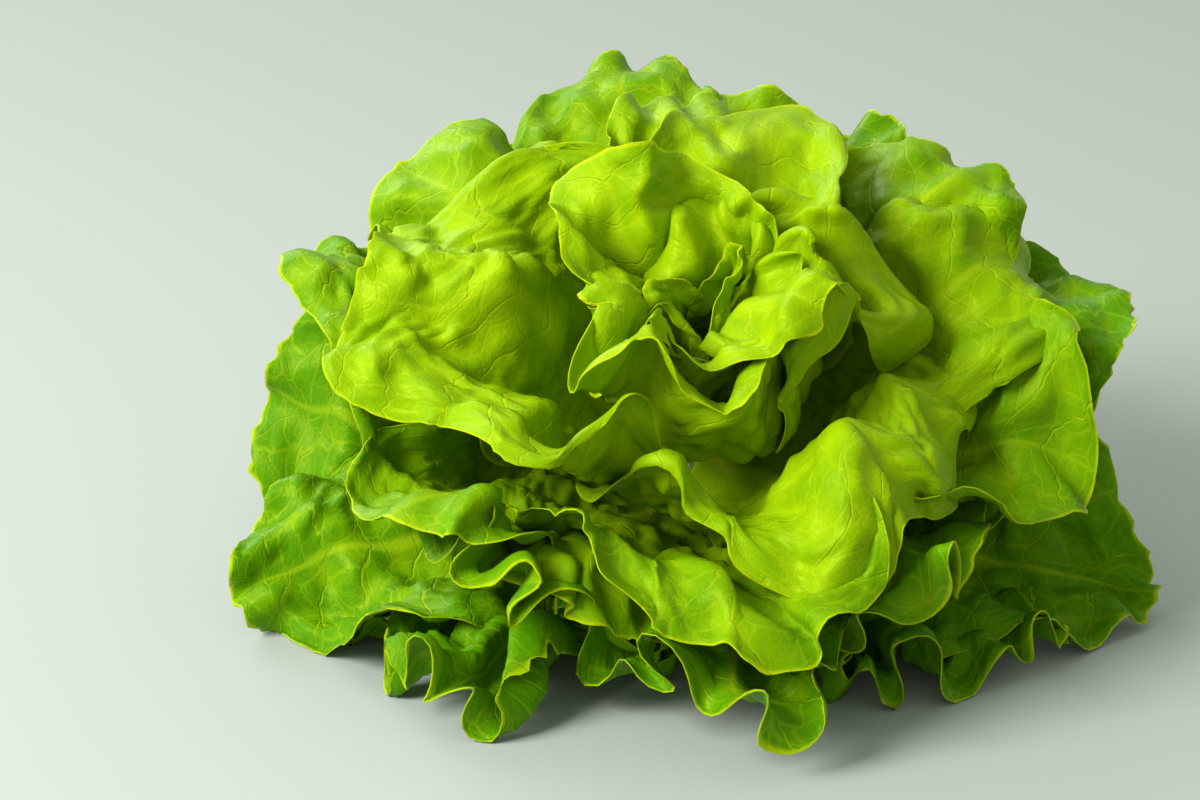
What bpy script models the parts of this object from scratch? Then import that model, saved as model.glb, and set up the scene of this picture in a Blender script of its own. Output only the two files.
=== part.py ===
"""A head of butterhead lettuce at its real size, in metres with +Z up.

The head is a short cut stem with its leaves set round it. Every leaf lies on its own layer of one
family of nested, vase-shaped surfaces round the stem. A place on a leaf is given by its bearing
round the stem, its travel outwards along the layer and the layer itself, counted from the heart
outwards. What bends one leaf is small beside the step to the next layer, and what bends the whole
head bends all layers alike, so leaves wrap each other without touching.

The head leans towards -Y and rests on the level surface z = 0, on its cut stem and its low leaves.
The origin is on that surface, under the middle of the head.
"""

import math
from dataclasses import dataclass, replace

import bmesh
import bpy
import numpy as np

MM = 0.001
GROWTH = 0.92  # the head's size against the lengths below
LEAN = math.radians(30)  # how far the head's axis leans from upright
BASE_HEIGHT = 31.0  # the head's own frame above the surface, in mm
HEAD_X = -1.4  # the head's own frame from the origin, in mm
HEAD_Y = 5.4

STEM_GAP = 1.6
STEM_SIDES = 24
STEM_TIP = 49.0
STEM_TIP_RADIUS = 0.95
STEM_SINK = 3.0  # how far the stem's surface lies under the leaves' feet

BLADE_THICKNESS = 0.7
RIB_THICKNESS = 1.9
RIB_HALF_WIDTH = 0.17  # as a share of the blade's half width
RIB_TAPER = 0.85
FOOT_WIDTH = 0.6  # a leaf's half width at the stem against the layer's radius there
WIDEST = 0.7  # where along its length a blade is widest
SWELL = 1.15
SHOULDER = 0.07
ROUNDNESS = 0.36  # how far the blade's corners fall behind its tip
ROUNDING = 1.5
THROAT = 0.3  # where along the blade its ruffles fan out from
FACING_ROUNDS = 30
FACING_STEP = 0.12

INNER_LAYER = 0.04
OUTER_LAYER = 1.25
LAST_LAYER = 1.6
LAYER_STEP = 0.01
TRAVEL_END = 190.0
TRAVEL_STEP = 0.5
SPAN = 1.0  # degrees round the head for each mm of two leaves' half widths
MEETING = 40.0  # over how many degrees two leaves come to meet
HEART_LENGTH = 110.0  # shorter leaves than this wrap right round the heart

OVERHANG = 0.42  # how far the crests of ruffles bulge over their slopes
FULL_RUFFLE = 0.06  # a ruffle of this many layers has the whole overhang
BROAD_WAVES = ((0.035, 5.0, 4.0, 0.5), (0.03, 8.0, -5.0, 2.0))  # layers, waves round, twist, phase
BROAD_START, BROAD_REACH = 30.0, 60.0
EDGE_START, EDGE_REACH = 62.0, 55.0
LUMP = 0.02
LUMP_ROUND = (11.0, 3.0)
LUMP_ALONG = (0.09, 0.11)

SWAY_START, SWAY_REACH = 20.0, 60.0
SWAYS = (  # for x, y and z: size in mm, radians for each mm along x, y and z, phase
    ((3.0, (0.0, 0.045, 0.0), 0.6), (1.6, (0.0, 0.0, 0.07), 1.9)),
    ((3.0, (0.05, 0.0, 0.0), 2.1), (1.4, (0.0, 0.0, 0.065), 0.0)),
    ((4.0, (0.042, 0.035, 0.0), 1.0),),
)
RIPPLE = 3.0
RIM_WAVES = 11
SKIRT_WAVES = 13

DROOP = 46.0
DROOP_START, DROOP_REACH = 22.0, 75.0
LOW_LEAVES = 105.0  # what stands higher than this neither droops nor is raised
FLOOR_SOFTNESS = 4.0
FLOOR_STEP = 32.0  # how much higher above the surface each layer lies where it's pressed on it

FRILLS = 19  # as many tight ruffles as would go round the head, though they only stand in front
FRILL_SPREAD = math.radians(62)
FRILL_START, FRILL_REACH = 55.0, 50.0
FRILL_LIFT = 9.0
FRILL_TOP = 48.0
FRILL_RAISE = 11.0

STEM_COLOUR = (0.62, 0.70, 0.38)
HEART_COLOUR = (0.46, 0.62, 0.03)
OUTER_COLOUR = (0.13, 0.36, 0.02)
STEM_ROUGHNESS = 0.6
LEAF_ROUGHNESS = 0.45
SHARP_EDGE = math.radians(60)


@dataclass(frozen=True)
class Layer:
    """One vase-shaped layer: where it leaves the stem and how its profile climbs and turns out."""

    at: float
    radius: float
    height: float
    base: float
    wall: float
    lip: float
    wall_length: float
    lip_start: float
    lip_length: float


@dataclass(frozen=True)
class Leaf:
    """One leaf: its bearing in degrees, length and half width in mm, and its bends in layers.

    The room is what it keeps free on both sides of it, in layers; its own layer follows from that.
    """

    name: str
    bearing: float
    length: float
    width: float
    room: float = 0.03
    layer: float = 0.0
    cup: float = 0.0
    ruffle: float = 0.02
    waves: float = 5.0
    phase: float = 0.0
    folds: tuple = ()
    steps: tuple = (10, 8)


LAYERS = (
    Layer(0.00, 3.5, 52.0, 70, 95, 100, 20, 35, 20),
    Layer(0.09, 7.0, 45.0, 38, 92, 30, 35, 55, 28),
    Layer(0.20, 10.0, 38.0, 26, 84, -2, 48, 63, 34),
    Layer(0.30, 12.0, 31.0, 18, 74, -16, 58, 69, 38),
    Layer(0.43, 13.5, 24.0, 12, 62, -20, 65, 77, 42),
    Layer(0.62, 14.5, 17.0, 7, 47, -16, 70, 85, 46),
    Layer(0.82, 15.2, 10.5, 2, 30, -14, 70, 92, 48),
    Layer(1.02, 15.8, 5.0, -4, 9, -14, 70, 98, 48),
    Layer(1.30, 16.5, -3.0, -20, -24, -20, 70, 104, 44),
    Layer(1.60, 17.0, -12.0, -34, -40, -20, 70, 104, 44),
)

SMALL = (8, 6)
WIDE = (12, 9)
WAVED = (14, 8)
BROAD = (16, 8)
FRILLED = (28, 7)
PLAIN = (10, 7)
LOW = (12, 7)

FRONT_FOLDS = ((-60, -0.04, 16), (-28, 0.04, 14))  # bearing on the blade, lift in layers, spread

LEAVES = (
    Leaf("heart_leaf_1", 40, 54, 24, ruffle=0.01, waves=4, phase=0.4, steps=SMALL),
    Leaf("heart_leaf_2", 205, 60, 28, ruffle=0.01, waves=4, phase=2.0, steps=SMALL),
    Leaf("heart_leaf_3", 330, 66, 34, room=0.015, ruffle=0.01, waves=4, phase=1.0, steps=SMALL),
    Leaf("heart_leaf_4", 85, 72, 36, room=0.015, ruffle=0.01, waves=4, phase=3.0, steps=SMALL),
    Leaf("heart_leaf_5", 215, 80, 40, room=0.02, ruffle=0.01, waves=4, steps=SMALL),
    Leaf("inner_leaf_1", 330, 88, 42, room=0.02, cup=-0.01, ruffle=0.01, phase=1.0),
    Leaf("inner_leaf_2", 130, 92, 58, room=0.035, cup=-0.01, ruffle=0.01, waves=3),
    Leaf("inner_leaf_3", 258, 92, 54, room=0.02, cup=-0.01, ruffle=0.01, waves=4, phase=0.5),
    Leaf("inner_leaf_4", 20, 106, 50, cup=-0.01, ruffle=0.01, phase=1.0),
    Leaf("inner_leaf_5", 70, 116, 50, room=0.05, ruffle=0.01, phase=2.0),
    Leaf("inner_leaf_6", 178, 142, 84, room=0.055, ruffle=0.01, steps=WIDE),
    Leaf("inner_leaf_7", 312, 122, 78, ruffle=0.015, waves=4, steps=WIDE),
    Leaf("middle_leaf_1", 94, 114, 40, room=0.07, ruffle=0.01),
    Leaf("middle_leaf_2", 18, 132, 62, room=0.04, cup=-0.01, ruffle=0.02, phase=0.7),
    Leaf("middle_leaf_3", 250, 108, 50, room=0.05, cup=-0.02, ruffle=0.01),
    Leaf("middle_leaf_4", 80, 128, 48, room=0.045, cup=0.01, ruffle=0.015, phase=1.0),
    Leaf("middle_leaf_5", 140, 136, 60, ruffle=0.015, waves=6),
    Leaf("middle_leaf_6", 274, 128, 68, room=0.055, ruffle=0.015, waves=4, phase=1.0, folds=FRONT_FOLDS,
         steps=WAVED),
    Leaf("middle_leaf_7", 38, 136, 54, room=0.045, ruffle=0.01, waves=6, steps=WAVED),
    Leaf("middle_leaf_8", 218, 122, 52, room=0.04, ruffle=0.01, phase=1.5, steps=WAVED),
    Leaf("middle_leaf_9", 345, 130, 60, room=0.04, ruffle=0.02, phase=2.5, steps=WAVED),
    Leaf("middle_leaf_10", 100, 144, 54, room=0.055, ruffle=0.01, waves=6, steps=WIDE),
    Leaf("middle_leaf_11", 166, 142, 58, room=0.05, ruffle=0.01),
    Leaf("middle_leaf_12", 240, 114, 56, ruffle=0.02, phase=0.5, steps=BROAD),
    Leaf("middle_leaf_13", 312, 118, 56, ruffle=0.02, steps=BROAD),
    Leaf("outer_leaf_1", 60, 134, 58, ruffle=0.015, waves=6, steps=PLAIN),
    Leaf("outer_leaf_2", 12, 144, 58, ruffle=0.015, waves=6, steps=PLAIN),
    Leaf("outer_leaf_3", 122, 140, 58, ruffle=0.015, waves=6, steps=PLAIN),
    Leaf("outer_leaf_4", 196, 140, 58, ruffle=0.015, steps=LOW),
    Leaf("outer_leaf_5", 274, 134, 48, room=0.045, ruffle=0.01, waves=6, phase=1.0, steps=FRILLED),
    Leaf("outer_leaf_6", 345, 144, 60, ruffle=0.02, waves=6, steps=WAVED),
    Leaf("outer_leaf_7", 88, 138, 58, room=0.045, ruffle=0.01, waves=6, steps=PLAIN),
    Leaf("outer_leaf_8", 160, 144, 53, room=0.055, ruffle=0.015, waves=6, steps=LOW),
    Leaf("outer_leaf_9", 238, 146, 54, room=0.06, ruffle=0.01, waves=6, phase=1.0, steps=FRILLED),
    Leaf("outer_leaf_10", 313, 146, 56, room=0.06, ruffle=0.01, waves=6, steps=FRILLED),
    Leaf("outer_leaf_11", 35, 134, 56, room=0.04, ruffle=0.01, waves=6, steps=PLAIN),
    Leaf("outer_leaf_12", 128, 132, 56, ruffle=0.02, waves=6, steps=PLAIN),
    Leaf("outer_leaf_13", 216, 142, 52, room=0.035, ruffle=0.02, waves=6, steps=LOW),
    Leaf("outer_leaf_14", 74, 126, 56, ruffle=0.02, waves=6, steps=PLAIN),
)


def ease(share):
    """A smooth step from 0 to 1."""
    share = np.clip(share, 0.0, 1.0)
    return share * share * (3.0 - 2.0 * share)


def stacked(leaves):
    """The leaves on their layers: each one just outside all earlier ones that it would meet."""
    layers = []
    for leaf in leaves:
        layer = 0.0
        for earlier, inside in zip(leaves, layers):
            apart = abs((leaf.bearing - earlier.bearing + 180.0) % 360.0 - 180.0)
            span = SPAN * (leaf.width + earlier.width) if leaf.length > HEART_LENGTH else 180.0
            meeting = float(np.clip((span - apart) / MEETING, 0.0, 1.0))
            layer = max(layer, inside + meeting * (leaf.room + earlier.room))
        layers.append(max([layer] + layers[-1:]))
    step = (OUTER_LAYER - INNER_LAYER) / (layers[-1] - layers[0])
    return [replace(leaf, layer=INNER_LAYER + layer * step) for leaf, layer in zip(leaves, layers)]


def layer_tables():
    """Radius and height of every layer at each step of travel outwards, round the head's axis."""
    at = np.arange(0.0, LAST_LAYER + LAYER_STEP, LAYER_STEP)
    travel = np.arange(0.0, TRAVEL_END + TRAVEL_STEP, TRAVEL_STEP)[:, None]
    places = [layer.at for layer in LAYERS]

    def value(name):
        return np.interp(at, places, [getattr(layer, name) for layer in LAYERS])

    climb = (value("wall") - value("base")) * ease(travel / value("wall_length"))
    turn_out = (value("lip") - value("wall")) * ease((travel - value("lip_start")) / value("lip_length"))
    angle = np.radians(value("base") + climb + turn_out)
    radius = value("radius") + (np.cumsum(np.cos(angle), axis=0) - np.cos(angle[0])) * TRAVEL_STEP
    height = value("height") + (np.cumsum(np.sin(angle), axis=0) - np.sin(angle[0])) * TRAVEL_STEP
    return radius, height


RADIUS_TABLE, HEIGHT_TABLE = layer_tables()


def looked_up(table, travel, layer):
    """A table's value at each travel and layer, between its entries."""
    row = np.clip(travel / TRAVEL_STEP, 0.0, table.shape[0] - 1.001)
    column = np.clip(layer / LAYER_STEP, 0.0, table.shape[1] - 1.001)
    low_row, low_column = row.astype(int), column.astype(int)
    row, column = row - low_row, column - low_column
    near = table[low_row, low_column] * (1.0 - row) + table[low_row + 1, low_column] * row
    far = table[low_row, low_column + 1] * (1.0 - row) + table[low_row + 1, low_column + 1] * row
    return near * (1.0 - column) + far * column


def blade_plan(leaf, across, up):
    """Sideways and lengthwise places of the blade's grid in mm, laid flat: a round, tapered leaf."""
    foot = FOOT_WIDTH * looked_up(RADIUS_TABLE, np.zeros(1), np.array([leaf.layer]))[0]
    swell = np.sin(np.minimum(up / WIDEST, 1.0) * math.pi / 2.0) ** SWELL
    shoulder = 1.0 - SHOULDER * np.clip((up - 0.5) / 0.5, 0.0, 1.0) ** 2
    half = (foot + (leaf.width - foot) * swell) * shoulder
    side = half[:, None] * across[None, :]
    length = leaf.length * (up[:, None] - ROUNDNESS * across[None, :] ** 2 * up[:, None] ** ROUNDING)
    return side, length


def near_rim(across, up):
    """How near a place on the blade is to its rim, from 0 to 1 at the rim itself."""
    return (1.0 - (1.0 - np.abs(across) ** 2.2) * (1.0 - up**2.6)) * ease((up - 0.12) / 0.4)


def bent_blade(leaf, across, up):
    """The blade's places with its ruffles bunched up, and how many layers it stands off its own."""
    side, length = blade_plan(leaf, across, up)
    across, up = across[None, :], up[:, None]
    rim = near_rim(across, up)
    throat = THROAT * leaf.length
    ahead, beside = (length - throat) / (leaf.length - throat), side / leaf.width
    bearing = np.degrees(np.arctan2(beside, ahead))
    turned = np.zeros_like(bearing)
    off = leaf.cup * across**2 * ease(up / 0.5)
    for place, lift, spread in leaf.folds:
        share = (bearing - place) / spread
        bump = np.exp(-(share**2)) * rim
        off = off + lift * bump
        turned = turned + OVERHANG * spread * share * bump
    angle = np.radians(bearing) * leaf.waves + leaf.phase
    off = off + leaf.ruffle * np.sin(angle) * rim**2
    bulge = np.sin(2.0 * angle) * rim**2 * min(1.0, leaf.ruffle / FULL_RUFFLE)
    turned = np.radians(turned) - OVERHANG * bulge / leaf.waves
    side = (beside * np.cos(turned) + ahead * np.sin(turned)) * leaf.width
    length = (ahead * np.cos(turned) - beside * np.sin(turned)) * (leaf.length - throat) + throat
    return side, length, off


def crumple(turn, travel, layer):
    """Waves that run through all layers alike, in layers: their steps keep the layers' order."""
    broad = sum(
        size * np.sin(waves * turn + twist * layer + phase)
        for size, waves, twist, phase in BROAD_WAVES
    )
    lumps = LUMP * np.sin(LUMP_ROUND[0] * turn + LUMP_ALONG[0] * travel)
    lumps = lumps * np.sin(LUMP_ALONG[1] * travel + LUMP_ROUND[1] * turn + 1.0)
    middle = ease((travel - BROAD_START) / BROAD_REACH)
    edge = ease((travel - EDGE_START) / EDGE_REACH)
    return layer + middle * (broad + lumps) + edge * broad


def sway(points):
    """The head's own irregular growth: a slow bend of all its layers together."""
    shift = [
        sum(size * np.sin(points @ np.array(along) + phase) for size, along, phase in waves)
        for waves in SWAYS
    ]
    distance = np.linalg.norm(points, axis=-1, keepdims=True)
    return points + np.stack(shift, axis=-1) * ease((distance - SWAY_START) / SWAY_REACH)


def round_axis(points):
    """The points' distance from the upright axis, their bearing in radians and their height."""
    x, y, z = points[..., 0], points[..., 1], points[..., 2]
    return np.hypot(x, y), np.arctan2(y, x), z


def from_round(distance, turn, height):
    """Points at a distance, bearing and height round the upright axis."""
    return np.stack([distance * np.cos(turn), distance * np.sin(turn), height], axis=-1)


def ripple(points):
    """Waves of the leaves' rims, outwards where they stand and upwards where they spread."""
    distance, turn, height = round_axis(points)
    standing = ease((height - 30.0) / 50.0) * ease((distance - 25.0) / 45.0)
    outwards = RIPPLE * np.sin(RIM_WAVES * turn + 0.02 * height) * standing
    upwards = RIPPLE * np.sin(SKIRT_WAVES * turn + 2.0) * ease((distance - 60.0) / 50.0)
    return from_round(distance + outwards, turn, height + upwards)


def lean(points):
    """From the head's own frame to the surface it rests on."""
    x, y, z = points[..., 0], points[..., 1], points[..., 2]
    ahead = y * math.cos(LEAN) - z * math.sin(LEAN)
    rise = y * math.sin(LEAN) + z * math.cos(LEAN) + BASE_HEIGHT
    return np.stack([x, ahead, rise], axis=-1) * GROWTH


def droop(points):
    """The low leaves behind, which hang from the leaning head back down towards the surface."""
    distance, turn, height = round_axis(points)
    behind = (0.5 + 0.5 * np.sin(turn)) ** 1.5
    share = ease((distance - DROOP_START) / DROOP_REACH) * behind * (1.0 - ease(height / LOW_LEAVES))
    return from_round(distance, turn, height - DROOP * share)


def rest(points, level):
    """Bends whatever would pass below level up onto it."""
    over = points[..., 2] - level
    bent = points.copy()
    bent[..., 2] = level + 0.5 * (over + np.sqrt(over**2 + FLOOR_SOFTNESS**2))
    return bent


def curl(points):
    """The low leaves' rims in front: tight frills, standing up off the surface."""
    distance, turn, height = round_axis(points)
    from_front = (turn + 1.5 * math.pi) % (2.0 * math.pi) - math.pi
    share = ease((distance - FRILL_START) / FRILL_REACH) * np.exp(-((from_front / FRILL_SPREAD) ** 2))
    lift = FRILL_RAISE * (1.0 - ease(height / LOW_LEAVES))
    lift = lift + FRILL_LIFT * (1.0 - ease(height / FRILL_TOP)) * np.sin(FRILLS * turn)
    turned = turn - OVERHANG * share * np.sin(2.0 * FRILLS * turn) / FRILLS
    return from_round(distance, turned, height + lift * share)


def upper_face(leaf, across, up):
    """The leaf's upper face as a grid of points in mm, rows from the stem to the tip."""
    side, travel, off = bent_blade(leaf, across, up)
    layer = np.full_like(side, leaf.layer)
    wrap = np.maximum.accumulate(looked_up(RADIUS_TABLE, travel, layer), axis=0)
    turn = math.radians(leaf.bearing) + side / wrap
    layer = np.clip(crumple(turn, travel, layer + off), 0.0, LAST_LAYER)
    radius = looked_up(RADIUS_TABLE, travel, layer)
    points = from_round(radius, turn, looked_up(HEIGHT_TABLE, travel, layer))
    level = BLADE_THICKNESS + FLOOR_STEP * max(0.0, OUTER_LAYER - leaf.layer)
    return curl(rest(droop(lean(sway(ripple(points)))), level)) + np.array([HEAD_X, HEAD_Y, 0.0])


def blade_thickness(across, up):
    """The blade's thickness in mm at each place of its grid: it swells along the rib."""
    rib = np.exp(-((across[None, :] / RIB_HALF_WIDTH) ** 2)) * (1.0 - RIB_TAPER * up[:, None])
    return BLADE_THICKNESS + (RIB_THICKNESS - BLADE_THICKNESS) * rib


def blade_triangles(columns, rows):
    """The grid places at the corners of each of the blade's triangles, mirrored about its rib."""
    triangles = []
    for j in range(rows):
        for i in range(columns):
            square = ((j, i), (j, i + 1), (j + 1, i + 1), (j + 1, i))
            if i >= columns // 2:
                square = square[1:] + square[:1]
            triangles += [(square[0], square[1], square[2]), (square[0], square[2], square[3])]
    return triangles


def facing(vert):
    """The direction that all faces round a corner of the blade's upper face look along the most."""
    direction = vert.normal.copy()
    for _ in range(FACING_ROUNDS):
        least = min(vert.link_faces, key=lambda face: face.normal.dot(direction))
        direction = (direction + FACING_STEP * least.normal).normalized()
    return direction


def leaf_object(leaf, material):
    """The leaf as a closed blade, split into triangles alike on both faces."""
    columns, rows = leaf.steps
    across = np.linspace(-1.0, 1.0, columns + 1)
    up = np.linspace(0.0, 1.0, rows + 1)
    triangles = blade_triangles(columns, rows)
    shape = bmesh.new()
    top = [[shape.verts.new(point) for point in row] for row in upper_face(leaf, across, up) * MM]
    for corners in triangles:
        shape.faces.new([top[a][b] for a, b in corners])
    shape.normal_update()
    depths = blade_thickness(across, up) * MM
    lower = [[vert.co - facing(vert) * depth for vert, depth in zip(*row)] for row in zip(top, depths)]
    under = [[shape.verts.new((point.x, point.y, max(point.z, 0.0))) for point in row] for row in lower]
    for corners in triangles:
        shape.faces.new([under[a][b] for a, b in reversed(corners)])
    edge = [(0, i) for i in range(columns)] + [(j, columns) for j in range(rows)]
    edge += [(rows, i) for i in range(columns, 0, -1)] + [(j, 0) for j in range(rows, 0, -1)]
    for (a, b), (c, d) in zip(edge, edge[1:] + edge[:1]):
        shape.faces.new((top[c][d], top[a][b], under[a][b]))
        shape.faces.new((top[c][d], under[a][b], under[c][d]))
    return finished(leaf.name, shape, material)


def stem_object(material):
    """The stem: a leaning cone inside the leaves' feet, cut level where the head rests."""
    turns = np.arange(STEM_SIDES) * 2.0 * math.pi / STEM_SIDES
    rings = [(STEM_TIP_RADIUS, STEM_TIP)]
    rings += [(layer.radius - STEM_GAP, layer.height - STEM_SINK) for layer in LAYERS[:-1]]
    rows = [lean(from_round(radius, turns, np.full_like(turns, height))) for radius, height in rings]
    foot = rows[-1].copy()
    foot[:, 1] = foot[:, 1] + foot[:, 2] * math.tan(LEAN)
    foot[:, 2] = 0.0
    rows.append(foot)
    shape = bmesh.new()
    centre = np.array([HEAD_X, HEAD_Y, 0.0])
    verts = [[shape.verts.new(point * MM) for point in row + centre] for row in rows]
    for upper, lower in zip(verts, verts[1:]):
        for i in range(STEM_SIDES):
            k = (i + 1) % STEM_SIDES
            shape.faces.new((upper[k], upper[i], lower[i], lower[k]))
    shape.faces.new(verts[0])
    shape.faces.new(list(reversed(verts[-1])))
    return finished("stem", shape, material)


def finished(name, shape, material):
    """Puts a finished bmesh into the scene as a named, smoothly shaded object."""
    mesh = bpy.data.meshes.new(name)
    shape.to_mesh(mesh)
    shape.free()
    mesh.shade_smooth()
    mesh.set_sharp_from_angle(angle=SHARP_EDGE)
    mesh.materials.append(material)
    obj = bpy.data.objects.new(name, mesh)
    bpy.context.scene.collection.objects.link(obj)
    return obj


def plain_material(name, colour, roughness):
    """A Principled BSDF of one colour."""
    material = bpy.data.materials.new(name)
    material.use_nodes = True
    shader = material.node_tree.nodes["Principled BSDF"]
    shader.inputs["Base Color"].default_value = (*colour, 1.0)
    shader.inputs["Roughness"].default_value = roughness
    shader.inputs["Metallic"].default_value = 0.0
    return material


def leaf_colour(leaf):
    """Bright yellow-green at the heart and deeper green outside."""
    share = (leaf.layer - INNER_LAYER) / (OUTER_LAYER - INNER_LAYER)
    return [inner + (outer - inner) * share for inner, outer in zip(HEART_COLOUR, OUTER_COLOUR)]


def main():
    """Clears the scene and builds the stem and the leaves."""
    for obj in list(bpy.data.objects):
        bpy.data.objects.remove(obj)
    stem_object(plain_material("stem", STEM_COLOUR, STEM_ROUGHNESS))
    for leaf in stacked(LEAVES):
        leaf_object(leaf, plain_material(leaf.name, leaf_colour(leaf), LEAF_ROUGHNESS))


main()
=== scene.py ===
"""Butterhead lettuce: its leaves finished with blisters, veins and frilled rims, in a plain studio.

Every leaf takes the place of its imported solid. It follows the same head form, a family of nested
vase-shaped layers round the stem, and adds what the solid leaves out: the blisters between the
veins, the fine frill and teeth of the rim, the thick pale rib and a finish for each face.
"""

import logging
import math
from dataclasses import dataclass
from enum import Enum, IntEnum

import bpy
import numpy as np
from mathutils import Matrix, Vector


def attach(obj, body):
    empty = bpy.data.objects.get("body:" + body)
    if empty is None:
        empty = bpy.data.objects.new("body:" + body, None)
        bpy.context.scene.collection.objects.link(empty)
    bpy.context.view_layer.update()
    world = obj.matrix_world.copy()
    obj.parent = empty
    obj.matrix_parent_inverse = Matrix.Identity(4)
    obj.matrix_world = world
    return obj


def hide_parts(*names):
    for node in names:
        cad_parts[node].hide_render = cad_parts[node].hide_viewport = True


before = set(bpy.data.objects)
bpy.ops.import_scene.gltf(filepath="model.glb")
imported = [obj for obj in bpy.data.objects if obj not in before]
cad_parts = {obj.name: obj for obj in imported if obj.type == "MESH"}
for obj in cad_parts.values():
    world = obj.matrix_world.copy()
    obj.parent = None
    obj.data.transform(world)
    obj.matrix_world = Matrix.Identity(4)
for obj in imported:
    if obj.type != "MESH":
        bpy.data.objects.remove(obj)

LOG = logging.getLogger("lettuce")
MM = 0.001
CM_IN_A_MM = 0.1
TINY = 1e-9

Colour = tuple[float, float, float]
Span = tuple[float, float]
Socket = bpy.types.NodeSocket
Grid = np.ndarray


def ease(share: Grid) -> Grid:
    """A smooth step from 0 to 1."""
    share = np.clip(share, 0.0, 1.0)
    return share * share * (3.0 - 2.0 * share)


def rise(value: Grid, span: Span) -> Grid:
    """A smooth step from 0 to 1 over a span, which is a start and a length."""
    start, length = span
    return ease((value - start) / length)


def round_axis(points: Grid) -> tuple[Grid, Grid, Grid]:
    """The points' distance from the upright axis, their bearing in radians and their height."""
    x, y, z = points[..., 0], points[..., 1], points[..., 2]
    return np.hypot(x, y), np.arctan2(y, x), z


def from_round(distance: Grid, turn: Grid, height: Grid) -> Grid:
    """Points at a distance, bearing and height round the upright axis."""
    return np.stack([distance * np.cos(turn), distance * np.sin(turn), height], axis=-1)


class LeafKind(Enum):
    """The rings of leaves, from the heart outwards, by the record's material slots."""

    HEART = "heart_leaf"
    INNER = "inner_leaf"
    MIDDLE = "middle_leaf"
    OUTER = "outer_leaf"


class Draw(IntEnum):
    """What a leaf's random draws are for: each adds its own number to the leaf's seed."""

    BLISTERS = 1
    LUMPS = 2
    VEINS = 3
    FLUTE_HEIGHT = 4
    FLUTE_PLACE = 5
    PUCKERS = 6
    TEETH = 7


@dataclass(frozen=True)
class Profile:
    """One vase-shaped layer: where it leaves the stem and how its profile climbs and turns out."""

    at: float
    radius: float
    height: float
    base: float
    wall: float
    lip: float
    wall_length: float
    lip_start: float
    lip_length: float


@dataclass(frozen=True)
class Leaf:
    """One leaf: its bearing in degrees, length and half width in mm, and its bends in layers.

    The room is what it keeps free on both sides of it, in layers, and the layer follows from that.
    """

    kind: LeafKind
    number: int
    bearing: float
    length: float
    width: float
    room: float = 0.03
    cup: float = 0.0
    ruffle: float = 0.02
    waves: float = 5.0
    phase: float = 0.0
    folds: tuple[tuple[float, float, float], ...] = ()

    @property
    def node(self) -> str:
        """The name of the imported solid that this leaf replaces."""
        return f"{self.kind.value}_{self.number}"


HEART, INNER, MIDDLE, OUTER = LeafKind
FRONT_FOLDS = ((-60, -0.04, 16), (-28, 0.04, 14))

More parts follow.
